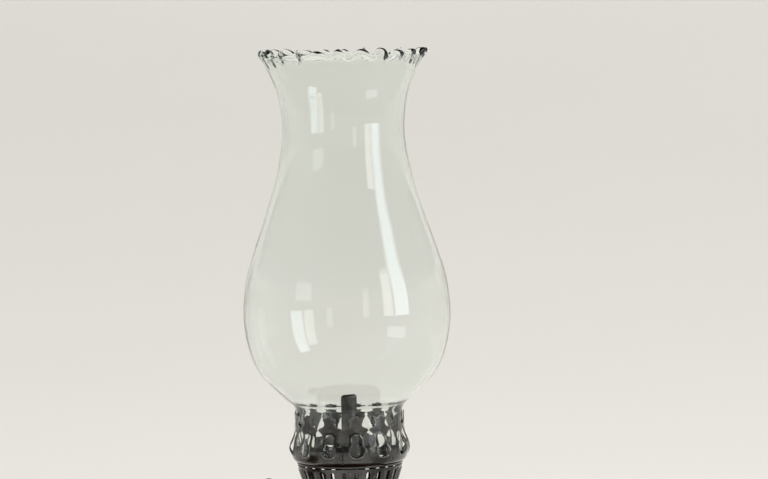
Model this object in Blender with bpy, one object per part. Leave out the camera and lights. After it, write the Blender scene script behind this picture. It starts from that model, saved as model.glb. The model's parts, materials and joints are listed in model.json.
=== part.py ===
"""Flat-wick oil lamp: a spun metal font on a pedestal, a crown burner and a crimp-top glass chimney.

The frame is +Z up with its origin at the centre of the foot's underside. Every length is in metres.
The wick knob points to -X, turned a little towards -Y.
"""

import math

import bmesh
import bpy
from mathutils import Matrix, Vector

MM = 0.001
GAP = 0.3 * MM  # clearance between pieces that touch on the real lamp

# Driving heights, from the foot's underside.
FONT_SEAM_Z = 134 * MM
COLLAR_TOP_Z = 177.2 * MM
BASKET_FLOOR_Z = 184 * MM
GALLERY_Z = 214 * MM  # where the gallery crown stands on the basket
TUBE_TOP_Z = 254 * MM
CHIMNEY_HEIGHT = 254 * MM  # a 10 in chimney

# Driving radii.
FITTER_RADIUS = 33.0 * MM  # a 2 5/8 in chimney base
FONT_RADIUS = 66 * MM
FOOT_RADIUS = 66 * MM
THREAD_RADIUS = 11.0 * MM  # a 7/8 in burner thread
BASKET_TOP_RADIUS = 32.4 * MM
BASKET_FLOOR_RADIUS = 23.6 * MM

# Sheet and wall thicknesses.
GLASS_WALL = 2.0 * MM
BURNER_SHEET = 0.5 * MM
SPUN_SHEET = 1.0 * MM

# Wick, tube and raiser.
RAISER_ANGLE = math.radians(200)  # direction of the wick shaft's knob end about +Z
TUBE_WIDTH = 10.2 * MM
TUBE_DEPTH = 3.4 * MM
TUBE_WALL = 0.4 * MM
WICK_WIDTH = 8.8 * MM
WICK_DEPTH = 2.0 * MM
WICK_BOTTOM_Z = 108 * MM
SHAFT_Z = 194.2 * MM
SHAFT_RADIUS = 1.1 * MM
WHEEL_TIP_RADIUS = 3.6 * MM
WHEEL_ROOT_RADIUS = 2.4 * MM
WHEEL_WIDTH = 0.9 * MM
SHAFT_OFFSET = WICK_DEPTH / 2 + GAP + WHEEL_TIP_RADIUS  # from the wick's middle plane
KNOB_DISTANCE = 55.0 * MM
KNOB_RADIUS = 12.0 * MM
KNOB_WIDTH = 2.6 * MM
BUSH_OUTER_X = 28.5 * MM  # where the bush's flange starts, just clear of the sloping basket

# Counts of repeated features.
PRONGS = 13
FIRST_PRONG_ANGLE = math.radians(-90 + 6.8)
CRIMPS = 24
BASKET_SLOTS = 26

ROUND = 32  # sides of a large turned piece
SMALL_ROUND = 20


# ---------------------------------------------------------------- scene and materials


def clear_scene():
    for obj in list(bpy.data.objects):
        bpy.data.objects.remove(obj, do_unlink=True)


def make_material(name, colour, roughness, metallic, transmission=0.0):
    material = bpy.data.materials.new(name)
    material.use_nodes = True
    shader = material.node_tree.nodes["Principled BSDF"]
    shader.inputs["Base Color"].default_value = (*colour, 1)
    shader.inputs["Roughness"].default_value = roughness
    shader.inputs["Metallic"].default_value = metallic
    shader.inputs["Transmission Weight"].default_value = transmission
    material.diffuse_color = (*colour, 1)
    return material


def make_materials():
    return {
        "glass": make_material("clear_glass", (0.93, 0.95, 0.93), 0.03, 0.0, 1.0),
        "burner": make_material("smoked_brass", (0.085, 0.08, 0.07), 0.42, 1.0),
        "bronze": make_material("aged_bronze", (0.23, 0.14, 0.08), 0.38, 1.0),
        "knob": make_material("worn_brass", (0.45, 0.34, 0.17), 0.35, 1.0),
        "steel": make_material("plain_steel", (0.45, 0.45, 0.44), 0.4, 1.0),
        "iron": make_material("cast_iron", (0.05, 0.05, 0.05), 0.8, 0.6),
        "cotton": make_material("cotton_wick", (0.7, 0.66, 0.55), 0.95, 0.0),
        "felt": make_material("green_felt", (0.04, 0.09, 0.05), 0.95, 0.0),
    }


def add_object(name, bm, material, parent=None, smooth=35):
    """Makes a node from a bmesh, with its normals out and its edges sharp above the smooth angle."""
    bmesh.ops.recalc_face_normals(bm, faces=bm.faces[:])
    mesh = bpy.data.meshes.new(name)
    bm.to_mesh(mesh)
    bm.free()
    mesh.materials.append(material)
    mesh.shade_smooth()
    mesh.set_sharp_from_angle(angle=math.radians(smooth))
    obj = bpy.data.objects.new(name, mesh)
    bpy.context.scene.collection.objects.link(obj)
    obj.parent = parent
    return obj


def add_frame(name, matrix):
    """An empty that stands for a joint's axis or a local frame."""
    frame = bpy.data.objects.new(name, None)
    frame.matrix_world = matrix
    bpy.context.scene.collection.objects.link(frame)
    bpy.context.view_layer.update()
    return frame


def cut(target, cutter_bm, name):
    """Subtracts a closed bmesh from a node with a Boolean, and hides the cutter."""
    bmesh.ops.recalc_face_normals(cutter_bm, faces=cutter_bm.faces[:])
    mesh = bpy.data.meshes.new(name)
    cutter_bm.to_mesh(mesh)
    cutter_bm.free()
    cutter = bpy.data.objects.new(name, mesh)
    bpy.context.scene.collection.objects.link(cutter)
    cutter.parent = target.parent
    cutter.hide_render = True
    cutter.display_type = "WIRE"
    boolean = target.modifiers.new(name, "BOOLEAN")
    boolean.operation = "DIFFERENCE"
    boolean.object = cutter


# ---------------------------------------------------------------- shape helpers


def offset_line(line, distance):
    """The line moved sideways, to the left of its direction of travel."""
    moved = []
    for i, point in enumerate(line):
        along = (line[min(i + 1, len(line) - 1)] - line[max(i - 1, 0)]).normalized()
        moved.append(point + distance * Vector((-along.y, along.x)))
    return moved


def wall_outline(outer, thickness):
    """A closed outline of a wall whose outer face is the line and whose inner face is on its left."""
    inner = offset_line(outer, thickness)
    return [*outer, *reversed(inner)]


def turned(outline, sides, closed=True):
    """A solid of revolution about Z from an outline of (radius, height) points."""
    bm = bmesh.new()
    verts = [bm.verts.new((r, 0, z)) for r, z in outline]
    pairs = list(zip(verts, verts[1:]))
    if closed:
        pairs.append((verts[-1], verts[0]))
    edges = [bm.edges.new(pair) for pair in pairs]
    bmesh.ops.spin(bm, geom=[*verts, *edges], cent=(0, 0, 0), axis=(0, 0, 1),
                   angle=math.tau, steps=sides, use_merge=True)
    bmesh.ops.remove_doubles(bm, verts=bm.verts[:], dist=1e-6)
    return bm


def in_mm(points):
    return [(a * MM, b * MM) for a, b in points]


def prism(points, low, high):
    """A closed outline in XY extruded from one height to another."""
    bm = bmesh.new()
    face = bm.faces.new([bm.verts.new((x, y, low)) for x, y in points])
    made = bmesh.ops.extrude_face_region(bm, geom=[face])["geom"]
    top = [v for v in made if isinstance(v, bmesh.types.BMVert)]
    bmesh.ops.translate(bm, verts=top, vec=(0, 0, high - low))
    return bm


def along_x(bm):
    """Turns a shape whose axis is Z so that its axis is X."""
    bmesh.ops.rotate(bm, verts=bm.verts[:], matrix=Matrix.Rotation(math.pi / 2, 3, "Y"))
    return bm


def moved(bm, vec):
    bmesh.ops.translate(bm, verts=bm.verts[:], vec=vec)
    return bm


def circle(radius, sides, centre=(0, 0), turn=0.0):
    angles = [math.tau * i / sides + turn for i in range(sides)]
    return [(centre[0] + radius * math.cos(a), centre[1] + radius * math.sin(a)) for a in angles]


def flat_oval(width, depth, sides=5):
    """A slot shape: two straight sides along X and round ends."""
    reach = width / 2 - depth / 2
    angles = [math.pi * i / sides - math.pi / 2 for i in range(sides + 1)]
    right = [(reach + depth / 2 * math.cos(a), depth / 2 * math.sin(a)) for a in angles]
    return [*right, *[(-x, -y) for x, y in right]]


def cylinder_x(radius, start, end, sides, centre=(0, 0)):
    """A closed cylinder along X, centred on (y, z)."""
    bm = along_x(prism(circle(radius, sides), start, end))
    return moved(bm, (0, *centre))


# ---------------------------------------------------------------- pierced sheet


def flat_pattern(loops, across, up):
    """A flat sheet in (across, up) bounded by the first loop and pierced by the others, creased along
    the given lines so that it can bend there."""
    bm = bmesh.new()
    edges = []
    for loop in loops:
        verts = [bm.verts.new((x, y, 0)) for x, y in loop]
        edges += [bm.edges.new(pair) for pair in zip(verts, [*verts[1:], verts[0]])]
    bmesh.ops.triangle_fill(bm, edges=edges, use_beauty=True, normal=(0, 0, 1))
    planes = [((x, 0, 0), (1, 0, 0)) for x in across] + [((0, y, 0), (0, 1, 0)) for y in up]
    for point, normal in planes:
        geom = [*bm.verts, *bm.edges, *bm.faces]
        bmesh.ops.bisect_plane(bm, geom=geom, dist=1e-7, plane_co=point, plane_no=normal)
    return bm


def wrapped(pattern, copies, first_angle, radius, meridian):
    """Copies of a flat pattern wrapped about Z, one cell after another. Up runs along the meridian, a
    line of (radius, height) points, and across is an arc length at the given radius."""
    bends = [0.0]
    for a, b in zip(meridian, meridian[1:]):
        bends.append(bends[-1] + (b - a).length)

    def place(across, up, turn):
        k = max(i for i in range(len(bends) - 1) if bends[i] <= up + 1e-9 or i == 0)
        share = (up - bends[k]) / (bends[k + 1] - bends[k])
        r, z = meridian[k].lerp(meridian[k + 1], share)
        angle = across / radius + turn
        return (r * math.cos(angle), r * math.sin(angle), z)

    bm = bmesh.new()
    for i in range(copies):
        turn = first_angle + math.tau * i / copies
        twins = {v: bm.verts.new(place(v.co.x, v.co.y, turn)) for v in pattern.verts}
        for face in pattern.faces:
            bm.faces.new([twins[v] for v in face.verts])
    pattern.free()
    bmesh.ops.remove_doubles(bm, verts=bm.verts[:], dist=1e-6)
    return bm


def thicken(obj, thickness):
    solid = obj.modifiers.new("sheet", "SOLIDIFY")
    solid.thickness = thickness
    solid.offset = 0


# ---------------------------------------------------------------- chimney


def chimney_outer_line():
    """The chimney's outer profile from the bottom of its fitter to its flared mouth."""
    bottom = GALLERY_Z / MM + 1.5
    fitter = FITTER_RADIUS / MM
    knots = [(fitter, 0), (fitter + 0.2, 30.5), (38.4, 36.6), (46.6, 44.2), (53.8, 52.2),
             (59.0, 61.5), (62.6, 73.5), (64.4, 87), (64.0, 99), (61.8, 114), (57.0, 129.5),
             (50.5, 149), (43.6, 170.5), (39.4, 190), (38.1, 203), (38.8, 216), (41.3, 229),
             (45.0, 238.5), (48.9, 246.5), (50.8, CHIMNEY_HEIGHT / MM - 2.6)]
    return [Vector((r, bottom + z)) * MM for r, z in knots]


def add_chimney(materials):
    """Blown glass with a crimped, pie-crust mouth: the last ring swings out and in, up and down."""
    line = chimney_outer_line()
    rim_z = line[-1].y
    bm = turned(wall_outline(line, GLASS_WALL), 2 * CRIMPS)
    crimp_start = rim_z - 6 * MM
    for v in bm.verts:
        share = max(0.0, (v.co.z - crimp_start) / (rim_z - crimp_start))
        if share > 0:
            angle = math.atan2(v.co.y, v.co.x)
            wave = math.cos(CRIMPS * angle)
            radial = Vector((v.co.x, v.co.y, 0)).normalized()
            v.co += share**2 * (radial * (0.9 + 0.9 * wave) * MM + Vector((0, 0, 2.2 * wave * MM)))
    add_object("chimney", bm, materials["glass"], smooth=60)


# ---------------------------------------------------------------- burner


def crown_meridian():
    """The crown's side profile: out from its foot, over the widest bulge, in to the glass, then up."""
    knots = [(33.65, 0.25), (37.4, 8.2), (33.85, 19.4), (34.2, 30.5)]
    return [Vector((r, z + GALLERY_Z / MM)) * MM for r, z in knots]


def keyhole():
    """A round hole with a wide neck rising from it, centred under a prong."""
    radius, centre, neck, top = 4.3, 9.7, 2.8, 20.0
    start = math.acos(neck / radius)
    sweep = math.tau - (math.pi - 2 * start)
    arc = [start - sweep * i / 10 for i in range(11)]
    loop = [(radius * math.cos(a), centre + radius * math.sin(a)) for a in arc]
    loop += [(-neck, top - 0.8), (0.6 - neck, top), (neck - 0.6, top), (neck, top - 0.8)]
    return in_mm(loop)


def add_crown(materials):
    """One stamped strip: a band with a keyhole under each prong, and prongs with wings and
    three-lobed heads. The neighbouring wings almost meet above each gap."""
    half = math.pi * 35 * MM / PRONGS  # half a cell, as an arc at the crown's 35 mm radius
    side = in_mm([(5.0, 12.9), (4.5, 14.4), (4.5, 19.0), (7.95, 22.6), (7.2, 24.2), (4.1, 25.2),
                  (3.5, 27.0), (4.4, 29.6), (2.3, 30.3), (1.1, 31.5)])
    gap_foot = [(half, 12.2 * MM)]
    right = [(half, 0), *gap_foot, *side]
    outline = [*right, *[(-x, y) for x, y in reversed(right)]]
    meridian = crown_meridian()
    bends = [0.0]
    for a, b in zip(meridian, meridian[1:]):
        bends.append(bends[-1] + (b - a).length)
    pattern = flat_pattern([outline, keyhole()], [-0.5 * half, 0.5 * half], bends[1:-1])
    bm = wrapped(pattern, PRONGS, FIRST_PRONG_ANGLE, 35 * MM, meridian)
    crown = add_object("gallery_crown", bm, materials["burner"], smooth=30)
    thicken(crown, BURNER_SHEET)


def add_bead_ring(materials):
    section = circle(1.1 * MM, 6, (32.1 * MM, GALLERY_Z - 1.1 * MM), math.pi / 6)
    add_object("gallery_bead", turned(section, ROUND), materials["burner"])


def add_basket(materials):
    """A conical air distributor: tall slots above, a row of round holes below."""
    top = Vector((BASKET_TOP_RADIUS, GALLERY_Z - 2.55 * MM))
    foot = Vector((BASKET_FLOOR_RADIUS, BASKET_FLOOR_Z + 0.2 * MM))
    radius = (BASKET_TOP_RADIUS + BASKET_FLOOR_RADIUS) / 2
    half = math.pi * radius / BASKET_SLOTS
    length = (top - foot).length
    outline = [(-half, 0), (half, 0), (half, length), (-half, length)]
    slot = [(1.15 * MM, 15.5 * MM), (1.15 * MM, 25.9 * MM), (0, 27.0 * MM),
            (-1.15 * MM, 25.9 * MM), (-1.15 * MM, 15.5 * MM), (0, 14.4 * MM)]
    hole = circle(1.0 * MM, 6, (0, 3.6 * MM))
    pattern = flat_pattern([outline, slot, hole], [], [])
    bm = wrapped(pattern, BASKET_SLOTS, 0.0, radius, [foot, top])
    basket = add_object("air_basket", bm, materials["burner"], smooth=40)
    thicken(basket, BURNER_SHEET)
    return basket


def add_floor_plate(materials, raiser):
    """The pierced plate that closes the basket's top and carries the wick tube."""
    rim = circle(33.1 * MM, ROUND)
    slot = flat_oval(TUBE_WIDTH + 2 * GAP, TUBE_DEPTH + 2 * GAP, 4)
    loops = [rim, slot]
    for count, ring in ((16, 25 * MM), (8, 14 * MM)):
        for i in range(count):
            angle = math.tau * (i + 0.5) / count
            loops.append(circle(2.0 * MM, 6, (ring * math.cos(angle), ring * math.sin(angle))))
    bm = flat_pattern(loops, [], [])
    plate = add_object("floor_plate", moved(bm, (0, 0, GALLERY_Z + 0.85 * MM)),
                       materials["burner"], raiser)
    thicken(plate, 0.6 * MM)


def add_wick_tube(materials, raiser):
    """A flat brass tube with two slots that let the spur wheels reach the wick."""
    outer = flat_oval(TUBE_WIDTH, TUBE_DEPTH)
    inner = flat_oval(TUBE_WIDTH - 2 * TUBE_WALL, TUBE_DEPTH - 2 * TUBE_WALL)
    bm = bmesh.new()
    rings = []
    for loop, z in ((outer, 172), (outer, TUBE_TOP_Z / MM), (inner, TUBE_TOP_Z / MM), (inner, 172)):
        rings.append([bm.verts.new((x, y, z * MM)) for x, y in loop])
    for low, high in zip(rings, [*rings[1:], rings[0]]):
        for i in range(len(low)):
            j = (i + 1) % len(low)
            bm.faces.new((low[i], low[j], high[j], high[i]))
    tube = add_object("wick_tube", bm, materials["burner"], raiser)
    for number, x in enumerate((-2.3 * MM, 2.3 * MM)):
        slot = prism([(x - 0.75 * MM, 0.6 * MM), (x + 0.75 * MM, 0.6 * MM),
                      (x + 0.75 * MM, 4 * MM), (x - 0.75 * MM, 4 * MM)],
                     SHAFT_Z - 4.4 * MM, SHAFT_Z + 4.4 * MM)
        cut(tube, slot, f"wheel_slot_cutter_{number + 1}")


def cut_tube_slot(target, raiser, low, high, name):
    """A slot through a round piece that the wick tube passes with a clearance."""
    slot = prism(flat_oval(TUBE_WIDTH + 2 * GAP, TUBE_DEPTH + 2 * GAP, 4), low, high)
    bmesh.ops.transform(slot, matrix=raiser.matrix_world, verts=slot.verts[:])
    cut(target, slot, name)


def add_deflector(materials, raiser):
    """A shallow cone round the wick tube that turns the draught onto the flame."""
    z = GALLERY_Z / MM
    outline = in_mm([(0, z + 18.4), (7.0, z + 18.0), (12.5, z + 15.4), (17.2, z + 12.6),
                     (18.0, z + 11.4), (17.3, z + 10.8), (12.2, z + 14.0), (6.8, z + 16.6),
                     (0, z + 17.0)])
    dish = add_object("deflector", turned(outline, 28, closed=False), materials["burner"])
    cut_tube_slot(dish, raiser, (z + 10) * MM, (z + 25) * MM, "deflector_slot_cutter")


def add_burner_base(materials, raiser):
    """A spun cup under the basket, a grip ring, and the neck that screws into the font's collar."""
    z = BASKET_FLOOR_Z / MM
    grip = COLLAR_TOP_Z / MM + 0.4
    thread = THREAD_RADIUS / MM
    outline = in_mm([(0, z - 0.2), (23.7, z - 0.2), (23.9, z - 1.0), (22.6, z - 1.9),
                     (19.0, z - 2.6), (17.4, z - 3.4), (17.4, grip + 0.4), (16.9, grip),
                     (thread, grip), (thread, 166), (9.5, 166), (9.5, z - 1.6), (0, z - 1.6)])
    base = add_object("burner_base", turned(outline, ROUND, closed=False), materials["burner"])
    cut_tube_slot(base, raiser, (z - 4) * MM, (z + 4) * MM, "base_slot_cutter")


def add_wheel_housing(materials, raiser):
    """A folded box on the tube's face that carries the inner end of the wick shaft."""
    low, high = SHAFT_Z - 5.4 * MM, SHAFT_Z + 5.4 * MM
    near, far = TUBE_DEPTH / 2 + GAP, SHAFT_OFFSET + 4.6 * MM
    reach, wall = 6.2 * MM, 0.6 * MM
    strip = [(-reach, near), (-reach, far), (reach, far), (reach, near), (reach - wall, near),
             (reach - wall, far - wall), (-reach + wall, far - wall), (-reach + wall, near)]
    box = add_object("wheel_housing", prism(strip, low, high), materials["burner"], raiser)
    hole = cylinder_x(SHAFT_RADIUS + 0.25 * MM, -8 * MM, 8 * MM, 12, (SHAFT_OFFSET, SHAFT_Z))
    cut(box, hole, "housing_hole_cutter")


def add_shaft_bush(materials, raiser, basket):
    """A flanged bush where the wick shaft leaves the basket."""
    centre = (SHAFT_OFFSET, SHAFT_Z)
    bore = SHAFT_RADIUS / MM + 0.25
    outer = BUSH_OUTER_X / MM
    outline = in_mm([(bore, outer - 5.2), (2.5, outer - 5.2), (2.5, outer), (4.0, outer),
                     (4.0, outer + 0.8), (3.4, outer + 1.2), (bore, outer + 1.2)])
    bush = moved(along_x(turned(outline, 16)), (0, *centre))
    add_object("shaft_bush", bush, materials["knob"], raiser)
    hole = cylinder_x(2.85 * MM, 20 * MM, 34 * MM, 16, centre)
    bmesh.ops.transform(hole, matrix=raiser.matrix_world, verts=hole.verts[:])
    cut(basket, hole, "bush_hole_cutter")


# ---------------------------------------------------------------- wick raiser and wick


def spur_wheel(teeth):
    """A star wheel: pointed teeth on a round body, with a bore that clears the shaft."""
    bm = bmesh.new()
    rim = []
    for i in range(teeth):
        angle = math.tau * i / teeth
        rim += [(WHEEL_TIP_RADIUS, angle), (WHEEL_ROOT_RADIUS, angle + math.pi / teeth)]
    bore = [(SHAFT_RADIUS + 0.1 * MM, angle) for _, angle in rim]
    rings = []
    for loop, z in ((rim, -1), (rim, 1), (bore, 1), (bore, -1)):
        height = z * WHEEL_WIDTH / 2
        rings.append([bm.verts.new((r * math.cos(a), r * math.sin(a), height)) for r, a in loop])
    for low, high in zip(rings, [*rings[1:], rings[0]]):
        for i in range(len(low)):
            j = (i + 1) % len(low)
            bm.faces.new((low[i], low[j], high[j], high[i]))
    return along_x(bm)


def add_raiser(materials, shaft):
    """The shaft frame's X axis is the joint axis, and its origin is over the wick's middle."""
    rod = cylinder_x(SHAFT_RADIUS, -7.4 * MM, KNOB_DISTANCE + KNOB_WIDTH / 2 + 1.4 * MM, 12)
    add_object("wick_shaft", rod, materials["knob"], shaft)
    for number, x in enumerate((-2.3 * MM, 2.3 * MM)):
        wheel = add_object(f"spur_wheel_{number + 1}", spur_wheel(8), materials["knob"], shaft)
        wheel.location = (x, 0, 0)
    ridges = 36
    edge = []
    for i in range(2 * ridges):
        r = KNOB_RADIUS - (i % 2) * 0.45 * MM
        edge.append((r * math.cos(math.pi * i / ridges), r * math.sin(math.pi * i / ridges)))
    disc = along_x(prism(edge, -KNOB_WIDTH / 2, KNOB_WIDTH / 2))
    knob = add_object("wick_knob", disc, materials["knob"], shaft)
    knob.location = (KNOB_DISTANCE, 0, 0)
    cut_bore = cylinder_x(SHAFT_RADIUS + 0.1 * MM, KNOB_DISTANCE - 5 * MM, KNOB_DISTANCE + 5 * MM, 12)
    cut(knob, cut_bore, "knob_bore_cutter")
    half = KNOB_WIDTH / 2 / MM + 0.3
    bore = SHAFT_RADIUS / MM + 0.1
    hub = in_mm([(bore, half), (4.6, half), (4.2, half + 1.0), (3.0, half + 1.5), (bore, half + 1.6)])
    for name, side in (("knob_hub_outer", 1), ("knob_hub_inner", -1)):
        piece = along_x(turned([(r, side * z) for r, z in hub], 16))
        collar = add_object(name, piece, materials["knob"], shaft)
        collar.location = (KNOB_DISTANCE, 0, 0)


def add_wick(materials, raiser):
    """A flat woven cotton wick, from just above the tube down into the font."""
    bm = prism(flat_oval(WICK_WIDTH, WICK_DEPTH, 4), WICK_BOTTOM_Z, TUBE_TOP_Z + 1.0 * MM)
    add_object("wick", bm, materials["cotton"], raiser)


# ---------------------------------------------------------------- font


def add_font_shells(materials):
    """Two spun halves of the oil font, met at the seam. Each has its own wall."""
    seam = FONT_SEAM_Z / MM
    radius = FONT_RADIUS / MM
    upper = [Vector((r, seam + z)) * MM for r, z in
             [(radius, 0.15), (radius, 2.4), (63.4, 9.0), (56.6, 16.2), (46.5, 22.6),
              (36.0, 26.6), (25.0, 29.2), (12.9, 30.6)]]
    add_object("font_upper", turned(wall_outline(upper, SPUN_SHEET), ROUND),
               materials["bronze"], smooth=50)
    lower = [Vector((r, seam + z)) * MM for r, z in
             [(0, -35.8), (14.0, -35.5), (26.0, -33.4), (38.0, -29.6), (48.5, -24.0),
              (57.5, -16.4), (64.4, -7.0), (radius, -2.4), (radius, -0.15)]]
    inner = [Vector((max(0.0, p.x), p.y)) for p in offset_line(lower, SPUN_SHEET)]
    inner[0].x = 0
    bowl = turned([*lower, *reversed(inner)], ROUND, closed=False)
    add_object("font_lower", bowl, materials["bronze"], smooth=50)


def add_seam_band(materials):
    """A rolled band over the seam between the font's halves."""
    seam = FONT_SEAM_Z / MM
    inner = FONT_RADIUS / MM + 0.3
    outline = in_mm([(inner, seam - 1.8), (inner + 0.8, seam - 1.6), (inner + 1.5, seam - 0.7),
                     (inner + 1.5, seam + 0.7), (inner + 0.8, seam + 1.6), (inner, seam + 1.8)])
    add_object("font_seam_band", turned(outline, ROUND), materials["bronze"])


def add_collar(materials):
    """The threaded collar set into the font's mouth."""
    top = COLLAR_TOP_Z / MM
    face = FONT_SEAM_Z / MM + 31.0
    bore = THREAD_RADIUS / MM + 0.3
    outline = in_mm([(bore, 160.5), (12.5, 160.5), (12.5, face), (20.0, face), (20.4, face + 0.9),
                     (19.0, face + 1.8), (16.2, face + 2.4), (15.4, face + 3.4), (15.4, top - 1.8),
                     (16.2, top - 1.2), (16.2, top - 0.4), (15.8, top), (bore, top)])
    add_object("font_collar", turned(outline, ROUND), materials["bronze"])


# ---------------------------------------------------------------- pedestal


def add_stem(materials):
    """A turned baluster between foot and font, bored for the tie rod."""
    side = in_mm([(3.6, 40.4), (16.0, 40.4), (16.2, 42.0), (12.4, 43.4), (9.2, 48.0), (8.2, 54.0),
                  (9.2, 61.0), (12.8, 67.4), (14.6, 72.5), (12.8, 77.4), (8.8, 81.6), (8.8, 85.0),
                  (12.6, 90.2), (17.6, 95.0), (18.4, 96.2), (18.0, 97.9), (3.6, 97.9)])
    add_object("stem", turned(side, 28), materials["bronze"], smooth=50)


def add_foot(materials):
    """A spun, stepped foot, open underneath, with a hole for the tie rod."""
    rim = FOOT_RADIUS / MM
    outer = in_mm([(rim, 2.3), (rim, 5.4), (rim - 1.6, 7.6), (58.6, 8.8), (57.0, 10.6),
                   (49.0, 13.2), (39.0, 18.4), (30.0, 25.4), (23.0, 33.4), (19.0, 36.8),
                   (17.2, 40.1), (3.6, 40.1)])
    wall = wall_outline([Vector(p) for p in outer], 1.2 * MM)
    wall = [Vector((max(p.x, 3.6 * MM), p.y)) for p in wall]
    add_object("foot", turned(wall, ROUND), materials["bronze"])


def add_ballast(materials):
    outline = in_mm([(3.6, 8.2), (47.0, 8.2), (47.0, 11.0), (37.0, 16.6), (27.5, 24.4),
                     (19.5, 33.6), (14.0, 38.0), (3.6, 38.5)])
    add_object("foot_ballast", turned(outline, 28), materials["iron"])


def add_tie_rod(materials):
    """The rod that clamps foot, stem and font together, with its washer and hexagon nut."""
    rod = prism(circle(3.2 * MM, SMALL_ROUND), 2.4 * MM, 97.9 * MM)
    add_object("tie_rod", rod, materials["steel"])
    washer = in_mm([(3.6, 6.9), (8.0, 6.9), (8.0, 7.9), (3.6, 7.9)])
    add_object("tie_washer", turned(washer, SMALL_ROUND), materials["steel"])
    bm = turned(in_mm([(4.1, 2.6), (6.4, 2.6), (6.4, 6.6), (4.1, 6.6)]), 6)
    add_object("tie_nut", bm, materials["steel"], smooth=20)


def add_felt(materials):
    add_object("felt_pad", prism(circle(64.6 * MM, 48), 0, 2.0 * MM), materials["felt"])


def main():
    clear_scene()
    materials = make_materials()
    raiser = add_frame("raiser_frame", Matrix.Rotation(RAISER_ANGLE, 4, "Z"))
    axis_place = Matrix.Translation((0, SHAFT_OFFSET, SHAFT_Z))
    shaft = add_frame("shaft_frame", raiser.matrix_world @ axis_place)

    add_chimney(materials)
    add_crown(materials)
    add_bead_ring(materials)
    basket = add_basket(materials)
    add_floor_plate(materials, raiser)
    add_wick_tube(materials, raiser)
    add_deflector(materials, raiser)
    add_burner_base(materials, raiser)
    add_wheel_housing(materials, raiser)
    add_shaft_bush(materials, raiser, basket)
    add_raiser(materials, shaft)
    add_wick(materials, raiser)
    add_font_shells(materials)
    add_seam_band(materials)
    add_collar(materials)
    add_stem(materials)
    add_foot(materials)
    add_ballast(materials)
    add_tie_rod(materials)
    add_felt(materials)


main()
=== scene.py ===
"""Oil lamp: the finished look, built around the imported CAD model."""

import json
import math
import random

import bmesh
import bpy
import numpy as np
from mathutils import Matrix, Vector


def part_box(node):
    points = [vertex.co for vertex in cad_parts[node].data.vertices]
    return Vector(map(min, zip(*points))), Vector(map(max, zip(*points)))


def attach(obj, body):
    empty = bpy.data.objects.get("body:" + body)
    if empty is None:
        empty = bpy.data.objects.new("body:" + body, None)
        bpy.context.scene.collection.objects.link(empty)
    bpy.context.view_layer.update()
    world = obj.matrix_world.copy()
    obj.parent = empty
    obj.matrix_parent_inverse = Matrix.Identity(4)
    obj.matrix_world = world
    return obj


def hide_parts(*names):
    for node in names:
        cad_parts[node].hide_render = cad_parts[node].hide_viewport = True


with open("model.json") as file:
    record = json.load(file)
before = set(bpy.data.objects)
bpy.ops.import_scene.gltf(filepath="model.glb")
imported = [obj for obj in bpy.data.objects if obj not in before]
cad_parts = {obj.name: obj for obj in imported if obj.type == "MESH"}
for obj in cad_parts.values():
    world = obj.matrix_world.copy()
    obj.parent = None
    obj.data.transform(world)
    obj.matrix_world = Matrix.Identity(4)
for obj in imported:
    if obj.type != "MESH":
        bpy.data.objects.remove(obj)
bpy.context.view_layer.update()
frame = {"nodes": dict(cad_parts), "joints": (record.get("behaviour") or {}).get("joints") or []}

MM = 0.001
TURN = math.tau

# Heights and radii that the pieces share, read from the CAD model, in millimetres.
GALLERY_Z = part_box("floor_plate")[0].z / MM - 0.55
CHIMNEY_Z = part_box("chimney")[0].z / MM
CHIMNEY_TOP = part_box("chimney")[1].z / MM
BASKET_TOP_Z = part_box("air_basket")[1].z / MM
BASKET_FLOOR_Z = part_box("air_basket")[0].z / MM
COLLAR_TOP_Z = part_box("font_collar")[1].z / MM
SEAM_Z = (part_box("font_seam_band")[0].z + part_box("font_seam_band")[1].z) / 2 / MM
FONT_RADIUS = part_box("font_upper")[1].x / MM
FOOT_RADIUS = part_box("foot")[1].x / MM
TUBE_TOP_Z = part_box("wick_tube")[1].z / MM
TUBE_BOTTOM_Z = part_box("wick_tube")[0].z / MM
WICK_BOTTOM_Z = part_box("wick")[0].z / MM

KNOB_JOINT = next(j for j in frame["joints"] if j["name"] == "knob_turn")
SHAFT_AXIS = -Vector(KNOB_JOINT["axis"])  # outwards, towards the knob
SHAFT_POINT = Vector(KNOB_JOINT["pos_m"])
RAISER_ANGLE = math.atan2(SHAFT_AXIS.y, SHAFT_AXIS.x)
KNOB_CENTRE = (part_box("wick_knob")[0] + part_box("wick_knob")[1]) / 2
KNOB_REACH = (KNOB_CENTRE - SHAFT_POINT).dot(SHAFT_AXIS) / MM

PRONGS = 13
FIRST_PRONG_ANGLE = math.radians(-90 + 6.8)
CRIMPS = 24  # folds round the chimney's mouth
BASKET_SLOTS = 26
FITTER_RADIUS = 33.0  # the chimney's foot
CROWN_RADIUS = 35.0
TUBE_WIDTH = 10.2
TUBE_DEPTH = 3.4
STAMPED_SHEET = 0.45
SPUN_SHEET = 0.95
THREAD_PITCH = 1.8


# ---------------------------------------------------------------- outlines


def smooth_line(knots, steps):
    """A Catmull-Rom curve through the knots."""
    p = [np.array(k, float) for k in knots]
    p = [2 * p[0] - p[1], *p, 2 * p[-1] - p[-2]]
    line = []
    for a, b, c, d in zip(p, p[1:], p[2:], p[3:]):
        for t in np.arange(steps) / steps:
            line.append(0.5 * (2 * b + (c - a) * t + (2 * a - 5 * b + 4 * c - d) * t**2
                               + (3 * b - a - 3 * c + d) * t**3))
    return [tuple(q) for q in [*line, p[-2]]]


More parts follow.
